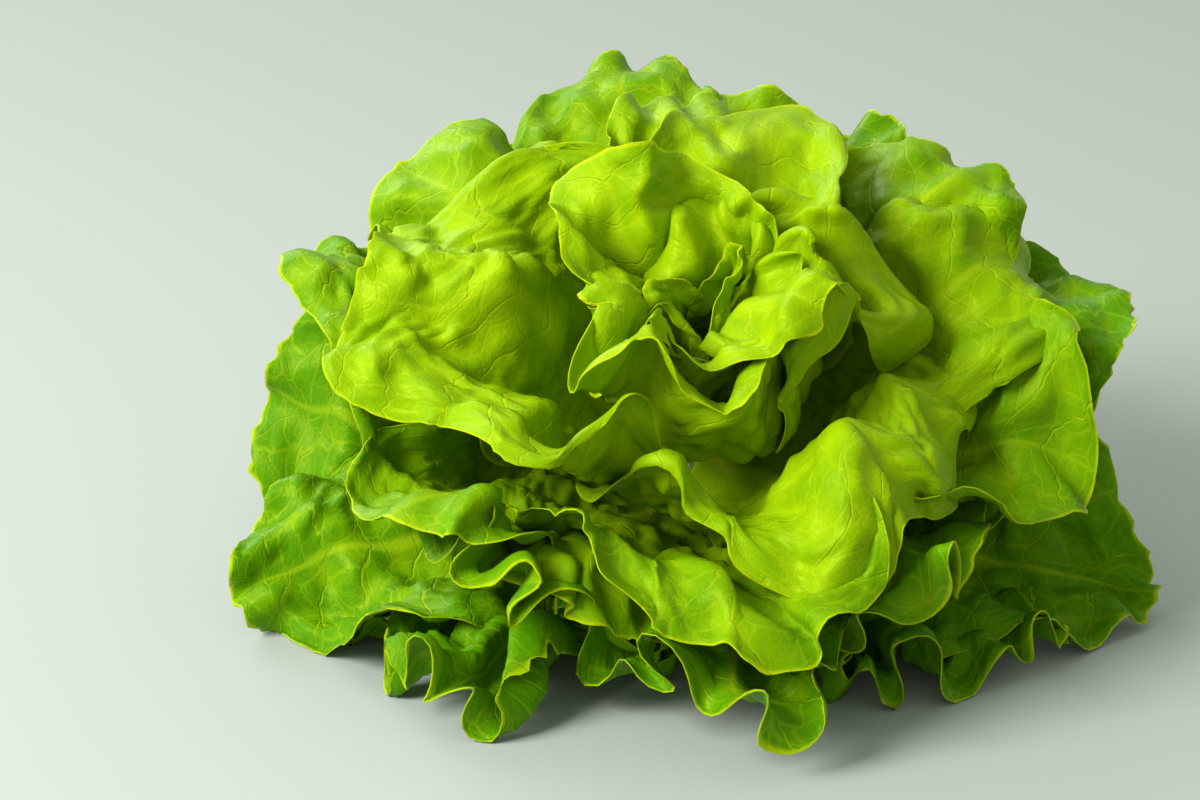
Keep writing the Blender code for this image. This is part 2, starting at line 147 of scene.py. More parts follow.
LEAVES = (
    Leaf(HEART, 1, 40, 54, 24, ruffle=0.01, waves=4, phase=0.4),
    Leaf(HEART, 2, 205, 60, 28, ruffle=0.01, waves=4, phase=2.0),
    Leaf(HEART, 3, 330, 66, 34, room=0.015, ruffle=0.01, waves=4, phase=1.0),
    Leaf(HEART, 4, 85, 72, 36, room=0.015, ruffle=0.01, waves=4, phase=3.0),
    Leaf(HEART, 5, 215, 80, 40, room=0.02, ruffle=0.01, waves=4),
    Leaf(INNER, 1, 330, 88, 42, room=0.02, cup=-0.01, ruffle=0.01, phase=1.0),
    Leaf(INNER, 2, 130, 92, 58, room=0.035, cup=-0.01, ruffle=0.01, waves=3),
    Leaf(INNER, 3, 258, 92, 54, room=0.02, cup=-0.01, ruffle=0.01, waves=4, phase=0.5),
    Leaf(INNER, 4, 20, 106, 50, cup=-0.01, ruffle=0.01, phase=1.0),
    Leaf(INNER, 5, 70, 116, 50, room=0.05, ruffle=0.01, phase=2.0),
    Leaf(INNER, 6, 178, 142, 84, room=0.055, ruffle=0.01),
    Leaf(INNER, 7, 312, 122, 78, ruffle=0.015, waves=4),
    Leaf(MIDDLE, 1, 94, 114, 40, room=0.07, ruffle=0.01),
    Leaf(MIDDLE, 2, 18, 132, 62, room=0.04, cup=-0.01, ruffle=0.02, phase=0.7),
    Leaf(MIDDLE, 3, 250, 108, 50, room=0.05, cup=-0.02, ruffle=0.01),
    Leaf(MIDDLE, 4, 80, 128, 48, room=0.045, cup=0.01, ruffle=0.015, phase=1.0),
    Leaf(MIDDLE, 5, 140, 136, 60, ruffle=0.015, waves=6),
    Leaf(MIDDLE, 6, 274, 128, 68, room=0.055, ruffle=0.015, waves=4, phase=1.0, folds=FRONT_FOLDS),
    Leaf(MIDDLE, 7, 38, 136, 54, room=0.045, ruffle=0.01, waves=6),
    Leaf(MIDDLE, 8, 218, 122, 52, room=0.04, ruffle=0.01, phase=1.5),
    Leaf(MIDDLE, 9, 345, 130, 60, room=0.04, ruffle=0.02, phase=2.5),
    Leaf(MIDDLE, 10, 100, 144, 54, room=0.055, ruffle=0.01, waves=6),
    Leaf(MIDDLE, 11, 166, 142, 58, room=0.05, ruffle=0.01),
    Leaf(MIDDLE, 12, 240, 114, 56, ruffle=0.02, phase=0.5),
    Leaf(MIDDLE, 13, 312, 118, 56, ruffle=0.02),
    Leaf(OUTER, 1, 60, 134, 58, ruffle=0.015, waves=6),
    Leaf(OUTER, 2, 12, 144, 58, ruffle=0.015, waves=6),
    Leaf(OUTER, 3, 122, 140, 58, ruffle=0.015, waves=6),
    Leaf(OUTER, 4, 196, 140, 58, ruffle=0.015),
    Leaf(OUTER, 5, 274, 134, 48, room=0.045, ruffle=0.01, waves=6, phase=1.0),
    Leaf(OUTER, 6, 345, 144, 60, ruffle=0.02, waves=6),
    Leaf(OUTER, 7, 88, 138, 58, room=0.045, ruffle=0.01, waves=6),
    Leaf(OUTER, 8, 160, 144, 53, room=0.055, ruffle=0.015, waves=6),
    Leaf(OUTER, 9, 238, 146, 54, room=0.06, ruffle=0.01, waves=6, phase=1.0),
    Leaf(OUTER, 10, 313, 146, 56, room=0.06, ruffle=0.01, waves=6),
    Leaf(OUTER, 11, 35, 134, 56, room=0.04, ruffle=0.01, waves=6),
    Leaf(OUTER, 12, 128, 132, 56, ruffle=0.02, waves=6),
    Leaf(OUTER, 13, 216, 142, 52, room=0.035, ruffle=0.02, waves=6),
    Leaf(OUTER, 14, 74, 126, 56, ruffle=0.02, waves=6),
)


@dataclass(frozen=True)
class HeadForm:
    """The head's form: the nested layers its leaves lie on and the bends they all share.

    Lengths are in mm before growth, which scales the whole head. A span is where a bend sets in
    and over what length it grows to its full size.
    """

    growth: float = 0.92
    lean_angle: float = math.radians(30)
    base_height: float = 31.0
    head_x: float = -1.4
    head_y: float = 5.4
    blade_thickness: float = 0.7
    foot_width: float = 0.6
    widest: float = 0.7
    swell: float = 1.15
    shoulder: float = 0.07
    roundness: float = 0.36
    rounding: float = 1.5
    throat: float = 0.3
    inner_layer: float = 0.04
    outer_layer: float = 1.25
    last_layer: float = 1.6
    layer_step: float = 0.01
    travel_end: float = 190.0
    travel_step: float = 0.5
    table_margin: float = 1.001
    meeting: float = 40.0
    heart_length: float = 110.0
    overhang: float = 0.42
    full_ruffle: float = 0.06
    broad_waves: tuple = ((0.035, 5.0, 4.0, 0.5), (0.03, 8.0, -5.0, 2.0))
    broad_span: Span = (30.0, 60.0)
    edge_span: Span = (62.0, 55.0)
    lump_height: float = 0.02
    lump_turns: tuple[float, float] = (11.0, 3.0)
    lump_travels: tuple[float, float] = (0.09, 0.11)
    lump_start: float = 1.0
    sways: tuple = (
        ((3.0, (0.0, 0.045, 0.0), 0.6), (1.6, (0.0, 0.0, 0.07), 1.9)),
        ((3.0, (0.05, 0.0, 0.0), 2.1), (1.4, (0.0, 0.0, 0.065), 0.0)),
        ((4.0, (0.042, 0.035, 0.0), 1.0),),
    )
    sway_span: Span = (20.0, 60.0)
    ripple_size: float = 3.0
    outward_ripples: int = 11
    ripple_twist: float = 0.02
    upward_ripples: int = 13
    ripple_start: float = 2.0
    standing_span: Span = (30.0, 50.0)
    outward_span: Span = (25.0, 45.0)
    upward_span: Span = (60.0, 50.0)
    droop_size: float = 46.0
    droop_narrowness: float = 1.5
    droop_span: Span = (22.0, 75.0)
    low_leaves: float = 105.0
    floor_softness: float = 4.0
    floor_step: float = 32.0
    frills: int = 19
    frill_spread: float = math.radians(62)
    frill_lift: float = 9.0
    frill_top: float = 48.0
    frill_raise: float = 11.0
    frill_span: Span = (55.0, 50.0)
    profiles: tuple[Profile, ...] = (
        Profile(0.00, 3.5, 52.0, 70, 95, 100, 20, 35, 20),
        Profile(0.09, 7.0, 45.0, 38, 92, 30, 35, 55, 28),
        Profile(0.20, 10.0, 38.0, 26, 84, -2, 48, 63, 34),
        Profile(0.30, 12.0, 31.0, 18, 74, -16, 58, 69, 38),
        Profile(0.43, 13.5, 24.0, 12, 62, -20, 65, 77, 42),
        Profile(0.62, 14.5, 17.0, 7, 47, -16, 70, 85, 46),
        Profile(0.82, 15.2, 10.5, 2, 30, -14, 70, 92, 48),
        Profile(1.02, 15.8, 5.0, -4, 9, -14, 70, 98, 48),
        Profile(1.30, 16.5, -3.0, -20, -24, -20, 70, 104, 44),
        Profile(1.60, 17.0, -12.0, -34, -40, -20, 70, 104, 44),
    )

    def stacked(self, leaves: tuple[Leaf, ...]) -> list[tuple[Leaf, float]]:
        """Finds each leaf's layer, just outside all earlier leaves that it would meet.

        Args:
            leaves: The leaves in order from the heart outwards.

        Returns:
            Each leaf with its layer.
        """
        layers: list[float] = []
        for leaf in leaves:
            layer = 0.0
            for earlier, inside in zip(leaves, layers):
                apart = abs((leaf.bearing - earlier.bearing + 180.0) % 360.0 - 180.0)
                span = leaf.width + earlier.width if leaf.length > self.heart_length else 180.0
                meeting = float(np.clip((span - apart) / self.meeting, 0.0, 1.0))
                layer = max(layer, inside + meeting * (leaf.room + earlier.room))
            layers.append(max([layer] + layers[-1:]))
        step = (self.outer_layer - self.inner_layer) / (layers[-1] - layers[0])
        return [(leaf, self.inner_layer + layer * step) for leaf, layer in zip(leaves, layers)]

    def tables(self) -> tuple[Grid, Grid]:
        """Radius and height of every layer at each step of travel outwards.

        Returns:
            The radius table and the height table, a row for each travel and a column for each layer.
        """
        at = np.arange(0.0, self.last_layer + self.layer_step, self.layer_step)
        travel = np.arange(0.0, self.travel_end + self.travel_step, self.travel_step)[:, None]
        places = [profile.at for profile in self.profiles]

        def value(name: str) -> Grid:
            """One of the profiles' values at every layer."""
            return np.interp(at, places, [getattr(profile, name) for profile in self.profiles])

        climb = (value("wall") - value("base")) * ease(travel / value("wall_length"))
        turn_out = ease((travel - value("lip_start")) / value("lip_length"))
        angle = np.radians(value("base") + climb + (value("lip") - value("wall")) * turn_out)
        radius = value("radius") + (np.cumsum(np.cos(angle), axis=0) - np.cos(angle[0])) * self.travel_step
        height = value("height") + (np.cumsum(np.sin(angle), axis=0) - np.sin(angle[0])) * self.travel_step
        return radius, height

    def looked_up(self, table: Grid, travel: Grid, layer: Grid) -> Grid:
        """Reads a table between its entries.

        Args:
            table: The radius table or the height table.
            travel: How far along the layer each place is, in mm.
            layer: The layer of each place.

        Returns:
            The table's value at each place.
        """
        row = np.clip(travel / self.travel_step, 0.0, table.shape[0] - self.table_margin)
        column = np.clip(layer / self.layer_step, 0.0, table.shape[1] - self.table_margin)
        low_row, low_column = row.astype(int), column.astype(int)
        row, column = row - low_row, column - low_column
        near = table[low_row, low_column] * (1.0 - row) + table[low_row + 1, low_column] * row
        far = table[low_row, low_column + 1] * (1.0 - row) + table[low_row + 1, low_column + 1] * row
        return near * (1.0 - column) + far * column

    def crumple(self, turn: Grid, travel: Grid, layer: Grid) -> Grid:
        """Adds the waves that run through all layers alike.

        Args:
            turn: The places' bearings in radians.
            travel: How far along the layer they are, in mm.
            layer: Their layers.

        Returns:
            Their layers with the waves.
        """
        broad = sum(
            size * np.sin(waves * turn + twist * layer + phase)
            for size, waves, twist, phase in self.broad_waves
        )
        first_turns, second_turns = self.lump_turns
        first_travels, second_travels = self.lump_travels
        first = np.sin(first_turns * turn + first_travels * travel)
        second = np.sin(second_travels * travel + second_turns * turn + self.lump_start)
        lumps = self.lump_height * first * second
        return layer + rise(travel, self.broad_span) * (broad + lumps) + rise(travel, self.edge_span) * broad

    def sway(self, points: Grid) -> Grid:
        """Bends all layers together and slowly, as the head's own irregular growth.

        Args:
            points: Places in the head's own frame, in mm.

        Returns:
            The bent places.
        """
        shift = [
            sum(size * np.sin(points @ np.array(along) + phase) for size, along, phase in waves)
            for waves in self.sways
        ]
        distance = np.linalg.norm(points, axis=-1, keepdims=True)
        return points + np.stack(shift, axis=-1) * rise(distance, self.sway_span)

    def ripple(self, points: Grid) -> Grid:
        """Waves the leaves' rims, outwards where they stand and upwards where they spread.

        Args:
            points: Places in the head's own frame, in mm.

        Returns:
            The waved places.
        """
        distance, turn, height = round_axis(points)
        standing = rise(height, self.standing_span) * rise(distance, self.outward_span)
        outwards = self.ripple_size * np.sin(self.outward_ripples * turn + self.ripple_twist * height)
        upwards = self.ripple_size * np.sin(self.upward_ripples * turn + self.ripple_start)
        spreading = rise(distance, self.upward_span)
        return from_round(distance + outwards * standing, turn, height + upwards * spreading)

    def lean(self, points: Grid) -> Grid:
        """Leans the head over and sets it above the surface.

        Args:
            points: Places in the head's own frame, in mm.

        Returns:
            Places above the surface, scaled by the head's growth.
        """
        x, y, z = points[..., 0], points[..., 1], points[..., 2]
        ahead = y * math.cos(self.lean_angle) - z * math.sin(self.lean_angle)
        above = y * math.sin(self.lean_angle) + z * math.cos(self.lean_angle) + self.base_height
        return np.stack([x, ahead, above], axis=-1) * self.growth

    def droop(self, points: Grid) -> Grid:
        """Lets the low leaves behind hang from the leaning head back down to the surface.

        Args:
            points: Places above the surface, in mm.

        Returns:
            The places with the low ones behind let down.
        """
        distance, turn, height = round_axis(points)
        behind = (0.5 + 0.5 * np.sin(turn)) ** self.droop_narrowness
        share = rise(distance, self.droop_span) * behind * (1.0 - ease(height / self.low_leaves))
        return from_round(distance, turn, height - self.droop_size * share)

    def rest(self, points: Grid, level: float) -> Grid:
        """Bends whatever would pass below a level up onto it.

        Args:
            points: Places above the surface, in mm.
            level: The height that they stay above.

        Returns:
            The bent places.
        """
        over = points[..., 2] - level
        bent = points.copy()
        bent[..., 2] = level + 0.5 * (over + np.sqrt(over**2 + self.floor_softness**2))
        return bent

    def curl(self, points: Grid) -> Grid:
        """Frills the low leaves' rims in front tightly, so that they stand up off the surface.

        Args:
            points: Places above the surface, in mm.

        Returns:
            The frilled places.
        """
        distance, turn, height = round_axis(points)
        from_front = (turn + 1.5 * math.pi) % (2.0 * math.pi) - math.pi
        share = rise(distance, self.frill_span) * np.exp(-((from_front / self.frill_spread) ** 2))
        lift = self.frill_raise * (1.0 - ease(height / self.low_leaves))
        lift = lift + self.frill_lift * (1.0 - ease(height / self.frill_top)) * np.sin(self.frills * turn)
        turned = turn - self.overhang * share * np.sin(2.0 * self.frills * turn) / self.frills
        return from_round(distance, turned, height + lift * share)

    def placed(self, points: Grid, layer: float) -> Grid:
        """From the upright head's own frame to the leaning head on the surface.

        Args:
            points: Places in the head's own frame, in mm.
            layer: The layer of the leaf that they are on.

        Returns:
            Places in the part's frame, in mm.
        """
        level = self.blade_thickness + self.floor_step * max(0.0, self.outer_layer - layer)
        bent = self.curl(self.rest(self.droop(self.lean(self.sway(self.ripple(points)))), level))
        return bent + np.array([self.head_x, self.head_y, 0.0])


class SoftNoise:
    """Smooth irregular waves over a blade or through space, the same each time for one seed."""

    WAVE_COUNTS = (0.6, 1.5)

    def __init__(self, seed: int, size: float, count: int = 10, axes: int = 2) -> None:
        """Draws the waves.

        Args:
            seed: What the draw starts from.
            size: A wave's usual length in mm.
            count: How many waves are added up.
            axes: How many numbers give a place: 2 on a blade and 3 in space.
        """
        draw = np.random.default_rng(seed)
        heading = draw.normal(size=(axes, count))
        heading /= np.linalg.norm(heading, axis=0)
        self.along = heading * 2.0 * math.pi / size * draw.uniform(*self.WAVE_COUNTS, count)
        self.phase = draw.uniform(0.0, 2.0 * math.pi, count)

    def at(self, *place: Grid) -> Grid:
        """The waves' height at each place, mostly between -1 and 1."""
        angle = np.stack(place, axis=-1) @ self.along + self.phase
        return np.sin(angle).sum(axis=-1) / math.sqrt(len(self.phase))


@dataclass(frozen=True)
class Unevenness:
    """A random slow bend of all leaves together, which leaves them in their order."""

    seed: int
    size: float
    height: float
    middle: tuple[float, float, float] = (0.0, 0.0, 0.0)
    inside: float = 1000.0
    fade: float = 30.0
    floor_fade: float = 40.0

    def bent(self, points: Grid) -> Grid:
        """Bends the points, fading towards the floor and away from the middle.

        Args:
            points: Places in the part's frame, in mm.

        Returns:
            The bent places.
        """
        away = np.linalg.norm(points - np.array(self.middle), axis=-1)
        share = 1.0 - rise(away, (self.inside, self.fade))
        place = np.moveaxis(points, -1, 0)
        noises = [SoftNoise(self.seed + axis, self.size, axes=3).at(*place) for axis in range(3)]
        shift = np.stack(noises, axis=-1) * (self.height * share)[..., None]
        shift[..., 2] *= ease(points[..., 2] / self.floor_fade)
        return points + shift


UNEVENNESS = (
    Unevenness(seed=11, size=70.0, height=3.5),
    Unevenness(seed=23, size=38.0, height=3.2, middle=(0.0, -31.0, 95.0), inside=30.0),
)


class Blisters:
    """A field of soft blisters with creases between them, spread over a blade."""

    ROW_STEP = 0.9
    SCATTER = 0.36
    SQUATNESS = 0.8

    def __init__(self, seed: int, leaf: Leaf, size: float) -> None:
        """Scatters the blisters' middles.

        Args:
            seed: What the draw starts from.
            leaf: The leaf that they cover.
            size: How far apart their middles are, in mm.
        """
        draw = np.random.default_rng(seed)
        across = np.arange(-leaf.width - size, leaf.width + 2.0 * size, size)
        along = np.arange(-size, leaf.length + 2.0 * size, size * self.ROW_STEP)
        grid = np.stack(np.meshgrid(across, along), axis=-1)
        grid[1::2, :, 0] += 0.5 * size
        self.size = size
        scatter = draw.uniform(-self.SCATTER, self.SCATTER, grid.shape) * size
        self.middles = (grid + scatter).reshape(-1, 2)

    def at(self, side: Grid, length: Grid) -> Grid:
        """How high each place is on its blister.

        Args:
            side: Sideways places in mm.
            length: Lengthwise places in mm.

        Returns:
            0 in a crease and 1 on top of a blister.
        """
        across = side[..., None] - self.middles[:, 0]
        along = (length[..., None] - self.middles[:, 1]) * self.SQUATNESS
        distance = np.partition(np.hypot(across, along), 1, axis=-1)
        share = np.clip((distance[..., 1] - distance[..., 0]) / self.size, 0.0, 1.0)
        return share * (2.0 - share)


@dataclass(frozen=True)
class Relief:
    """What stands up on a blade, in mm: blisters, quilting between side veins, lumps and the rim.

    The flutes are the tight pleats of the rim, counted for each radian of the blade's fan.
    """

    blister: float
    blister_size: float
    quilt: float
    lump: float
    lump_size: float
    flute: float
    flutes: float
    tooth: float


RELIEFS = {
    HEART: Relief(2.4, 10.0, 0.4, 1.2, 20.0, 1.6, 9.0, 0.3),
    INNER: Relief(4.0, 16.0, 1.3, 1.0, 34.0, 1.6, 10.0, 0.45),
    MIDDLE: Relief(4.0, 15.0, 1.4, 1.2, 34.0, 3.0, 14.0, 0.7),
    OUTER: Relief(3.2, 13.0, 1.4, 1.3, 32.0, 3.2, 18.0, 1.0),
}


@dataclass(frozen=True)
class TipCurl:
    """How a leaf's tip rolls: where along the blade from, how far in degrees and how unevenly.

    A positive angle rolls it towards its upper face, and a positive skew rolls its side with the
    larger bearing the most.
    """

    start: float
    angle: float
    skew: float = 0.0


TIP_CURLS = {
    "heart_leaf_2": TipCurl(0.6, 50.0, 0.5),
    "heart_leaf_3": TipCurl(0.6, 70.0, -0.4),
    "heart_leaf_4": TipCurl(0.6, 80.0, 0.3),
    "heart_leaf_5": TipCurl(0.65, 60.0, -0.5),
    "inner_leaf_1": TipCurl(0.6, 35.0, 0.8),
    "inner_leaf_4": TipCurl(0.6, 80.0, 0.4),
    "inner_leaf_7": TipCurl(0.35, 42.0, 0.55),
    "middle_leaf_2": TipCurl(0.45, 32.0, 0.3),
    "middle_leaf_3": TipCurl(0.4, 60.0, 0.2),
}
SAGS = {"outer_leaf_4": 20.0, "outer_leaf_8": 12.0, "outer_leaf_6": 8.0}
FRONT_FLUTE = 7.5
FRONT_LEAVES = ("outer_leaf_5", "outer_leaf_9", "outer_leaf_10", "middle_leaf_12", "middle_leaf_13")
CLOSE_LEAVES = FRONT_LEAVES + tuple(f"heart_leaf_{number}" for number in (1, 2, 3, 4, 5))
CLOSE_LEAVES += tuple(f"inner_leaf_{number}" for number in (1, 2, 3, 4, 6, 7))
CLOSE_LEAVES += tuple(f"middle_leaf_{number}" for number in (3, 6, 8))


@dataclass
class Blade:
    """One leaf's finished blade: a closed sheet with a rib, blisters and a frilled, toothed rim.

    Sizes are in mm, but the rib's half width is a share of the blade's. Places up the blade, and
    the spans of places, go from 0 at the foot to 1 at the tip.
    """

    leaf: Leaf
    layer: float
    form: HeadForm
    tables: tuple[Grid, Grid]
    cell: float = 1.9
    fine_cell: float = 1.25
    thickness: float = 0.5
    rim_thickness: float = 0.25
    rim_width: float = 3.0
    rim_span: Span = (0.12, 0.4)
    rim_squareness: tuple[float, float] = (2.2, 2.6)
    shoulder_start: float = 0.5
    corner_span: Span = (0.76, 0.2)
    cup_reach: float = 0.5
    overhang_reach: float = 0.75
    rib_thickness: float = 2.2
    rib_half_width: float = 0.13
    rib_thinning: float = 0.85
    rib_clearance: float = 9.0
    vein_spacing: float = 15.0
    vein_slope: float = 0.9
    vein_curve: float = 0.92
    vein_skew: float = 0.25
    vein_wander: float = 3.0
    vein_wander_size: float = 60.0
    tooth_size: float = 7.0
    tooth_depth: float = 4.0
    tooth_span: Span = (0.2, 0.3)
    pucker_size: float = 0.5
    pucker_share: float = 0.28
    relief_span: Span = (0.12, 0.3)
    rim_calm: float = 0.75
    flute_overhang: float = 0.2
    flute_reach: float = 60.0
    flute_wander: float = 1.3
    flute_wander_size: float = 45.0
    flute_variety: float = 0.35
    flute_variety_size: float = 50.0
    sag_span: Span = (0.3, 0.7)
    softening: int = 24
    smooth_angle: float = math.radians(75)
    flat_gap: float = 0.1

    def __post_init__(self) -> None:
        """Settles the grid that the blade is made on."""
        cell = self.fine_cell if self.leaf.node in CLOSE_LEAVES else self.cell
        self.columns = 2 * round(self.leaf.width / cell)
        self.rows = round(self.leaf.length / cell)
        self.across = np.linspace(-1.0, 1.0, self.columns + 1)[None, :]
        self.up = np.linspace(0.0, 1.0, self.rows + 1)[:, None]
        self.throat = self.form.throat * self.leaf.length
        self.relief = RELIEFS[self.leaf.kind]
        self.seed = 100 * list(LeafKind).index(self.leaf.kind) + self.leaf.number

    def flat(self) -> tuple[Grid, Grid]:
        """Lays the blade's grid out flat.

        Returns:
            The sideways and the lengthwise places of the grid, in mm.
        """
        leaf, form = self.leaf, self.form
        start = form.looked_up(self.tables[0], np.zeros(1), np.array([self.layer]))[0]
        foot = form.foot_width * start
        swell = np.sin(np.minimum(self.up / form.widest, 1.0) * math.pi / 2.0) ** form.swell
        past = np.clip((self.up - self.shoulder_start) / (1.0 - self.shoulder_start), 0.0, 1.0)
        shoulder = 1.0 - form.shoulder * past**2
        side = (foot + (leaf.width - foot) * swell) * shoulder * self.across
        length = leaf.length * (self.up - form.roundness * self.across**2 * self.up**form.rounding)
        return side, length

    def near_rim(self) -> Grid:
        """Works out where the rim is.

        Returns:
            How near each place is to the rim, from 0 to 1 at the rim itself.
        """
        beside, above = self.rim_squareness
        inner = (1.0 - np.abs(self.across) ** beside) * (1.0 - self.up**above)
        return (1.0 - inner) * rise(self.up, self.rim_span)

    def off_corners(self) -> Grid:
        """How far each place is from the grid's two outer corners, where its cells are slivers."""
        return 1.0 - rise(np.abs(self.across) * self.up, self.corner_span)

    def to_rim(self, side: Grid, length: Grid) -> Grid:
        """Measures the way to the rim.

        Args:
            side: Sideways places in mm.
            length: Lengthwise places in mm.

        Returns:
            How many mm each place is from the rim.
        """
        beside = (1.0 - np.abs(self.across)) * np.abs(side).max(axis=1, keepdims=True)
        above = (1.0 - self.up) * length.max()
        return np.minimum(beside, above)

    def bent(self, side: Grid, length: Grid) -> tuple[Grid, Grid, Grid]:
        """Bunches the flat blade's places up into its ruffles and folds.

        Args:
            side: Sideways places in mm.
            length: Lengthwise places in mm.

        Returns:
            The bunched places and how many layers each stands off its own.
        """
        leaf, form = self.leaf, self.form
        rim = self.near_rim()
        reach = leaf.length - self.throat
        ahead, beside = (length - self.throat) / reach, side / leaf.width
        bearing = np.degrees(np.arctan2(beside, ahead))
        turned = np.zeros_like(bearing)
        off = leaf.cup * self.across**2 * ease(self.up / self.cup_reach)
        for place, lift, spread in leaf.folds:
            share = (bearing - place) / spread
            bump = np.exp(-(share**2)) * rim
            off = off + lift * bump
            turned = turned + form.overhang * spread * share * bump
        angle = np.radians(bearing) * leaf.waves + leaf.phase
        off = off + leaf.ruffle * np.sin(angle) * rim**2
        bulge = np.sin(2.0 * angle) * rim**2 * min(1.0, leaf.ruffle / form.full_ruffle)
        turned = np.radians(turned) - form.overhang * bulge / leaf.waves
        fanned = ease(np.hypot(ahead, beside) / self.overhang_reach) * self.off_corners()
        flutes = self.flute_overhang * np.sin(2.0 * self.flute_phase(side, length))
        turned = turned - flutes * rim**3 * fanned / self.relief.flutes
        side = (beside * np.cos(turned) + ahead * np.sin(turned)) * leaf.width
        length = (ahead * np.cos(turned) - beside * np.sin(turned)) * reach + self.throat
        return side, length, off

    def toothed(self, side: Grid, length: Grid) -> tuple[Grid, Grid]:
        """Draws the rim in and out a little, as fine uneven teeth.

        Args:
            side: Sideways places in mm.
            length: Lengthwise places in mm.

        Returns:
            The sideways and the lengthwise places with the teeth.
        """
        near = np.exp(-((self.to_rim(side, length) / self.tooth_depth) ** 2))
        uneven = SoftNoise(self.seed + Draw.TEETH, self.tooth_size).at(side, length)
        tooth = self.relief.tooth * uneven * near / self.leaf.length
        pull = 1.0 + tooth * rise(self.up, self.tooth_span)
        return side * pull, length * pull

    def sheet(self, side: Grid, length: Grid) -> Grid:
        """Sets the flat blade into the head.

        Args:
            side: Sideways places in mm.
            length: Lengthwise places in mm.

        Returns:
            The blade's upper face without its relief, in mm.
        """
        side, travel, off = self.bent(side, length)
        layer = np.full_like(side, self.layer)
        radius_table, height_table = self.tables
        wrap = np.maximum.accumulate(self.form.looked_up(radius_table, travel, layer), axis=0)
        turn = math.radians(self.leaf.bearing) + side / wrap
        layer = np.clip(self.form.crumple(turn, travel, layer + off), 0.0, self.form.last_layer)
        radius = self.form.looked_up(radius_table, travel, layer)
        height = self.form.looked_up(height_table, travel, layer)
        points = self.rolled(self.form.placed(from_round(radius, turn, height), self.layer))
        points[..., 2] -= SAGS.get(self.leaf.node, 0.0) * rise(self.up, self.sag_span)
        for unevenness in UNEVENNESS:
            points = unevenness.bent(points)
        return points

    def rolled(self, points: Grid) -> Grid:
        """Rolls the blade's tip over, with its length kept.

        Args:
            points: The blade's places in the head, in mm.

        Returns:
            The places with the tip rolled, or as they were where the leaf has no curl.
        """
        curl = TIP_CURLS.get(self.leaf.node)
        if curl is None:
            return points
        start = points[int(curl.start * self.rows)]
        axis = (start[-1] - start[0]) / np.linalg.norm(start[-1] - start[0])
        share = rise(self.up[1:], (curl.start, 1.0 - curl.start))
        angle = (math.radians(curl.angle) * share * (1.0 + curl.skew * self.across))[..., None]
        step = np.diff(points, axis=0)
        along = axis * (step @ axis)[..., None]
        step = along + (step - along) * np.cos(angle) + np.cross(axis, step) * np.sin(angle)
        return np.concatenate([points[:1], points[:1] + np.cumsum(step, axis=0)])

    def flute_phase(self, side: Grid, length: Grid) -> Grid:
        """Counts the rim's pleats round the blade's fan, unevenly.

        Args:
            side: Sideways places in mm.
            length: Lengthwise places in mm.

        Returns:
            Where in its pleat each place is, in radians.
        """
        ahead = (length - self.throat) / (self.leaf.length - self.throat)
        fan = np.arctan2(side / self.leaf.width, ahead)
        uneven = SoftNoise(self.seed + Draw.FLUTE_PLACE, self.flute_wander_size).at(side, length)
        return self.relief.flutes * fan + self.flute_wander * uneven + self.seed

    def vein_phase(self, side: Grid, length: Grid) -> Grid:
        """Counts the side veins from the foot to the tip.

        Args:
            side: Sideways places in mm.
            length: Lengthwise places in mm.

        Returns:
            The count at each place: a whole number is on a vein.
        """
        uneven = SoftNoise(self.seed + Draw.VEINS, self.vein_wander_size).at(side, length)
        away = np.abs(side)
        climb = self.vein_slope * away**self.vein_curve + self.vein_skew * away * np.sign(side)
        return (length - climb + self.vein_wander * uneven) / self.vein_spacing

    def swollen(self, side: Grid, length: Grid) -> Grid:
        """Swells the blade between its veins, with small puckers in the blisters.

        Args:
            side: Sideways places in mm.
            length: Lengthwise places in mm.

        Returns:
            How high each place is on its blister, from 0 to 1.
        """
        size = self.relief.blister_size
        blisters = Blisters(self.seed + Draw.BLISTERS, self.leaf, size).at(side, length)
        puckers = Blisters(self.seed + Draw.PUCKERS, self.leaf, self.pucker_size * size).at(side, length)
        return (1.0 - self.pucker_share) * blisters + self.pucker_share * puckers

    def fluted(self, side: Grid, length: Grid) -> Grid:
        """Pleats the rim, the more the nearer to it.

        Args:
            side: Sideways places in mm.
            length: Lengthwise places in mm.

        Returns:
            How many mm the pleats raise each place.
        """
        strength = FRONT_FLUTE if self.leaf.node in FRONT_LEAVES else self.relief.flute
        varied = SoftNoise(self.seed + Draw.FLUTE_HEIGHT, self.flute_variety_size).at(side, length)
        strength = strength * (1.0 + self.flute_variety * varied)
        fanned = ease(np.hypot(side, length - self.throat) / self.flute_reach)
        flute = np.sin(self.flute_phase(side, length)) * self.near_rim() ** 2
        return strength * (flute * fanned * self.off_corners())

    def raised(self, side: Grid, length: Grid) -> tuple[Grid, Grid]:
        """What stands up on the blade.

        Args:
            side: Sideways places in mm.
            length: Lengthwise places in mm.

        Returns:
            How many mm each place stands up, and how high it is on its blister, from 0 to 1.
        """
        relief = self.relief
        swelling = self.swollen(side, length)
        quilt = np.abs(np.sin(math.pi * self.vein_phase(side, length)))
        lumps = SoftNoise(self.seed + Draw.LUMPS, relief.lump_size).at(side, length)
        body = rise(self.up, self.relief_span) * (1.0 - self.rim_calm * self.near_rim() ** 5)
        beside_rib = ease(np.abs(side) / self.rib_clearance)
        height = (relief.blister * (swelling - 0.5) + relief.quilt * (quilt - 0.5)) * beside_rib
        height = (height + relief.lump * lumps) * body
        return height + self.fluted(side, length), swelling * body

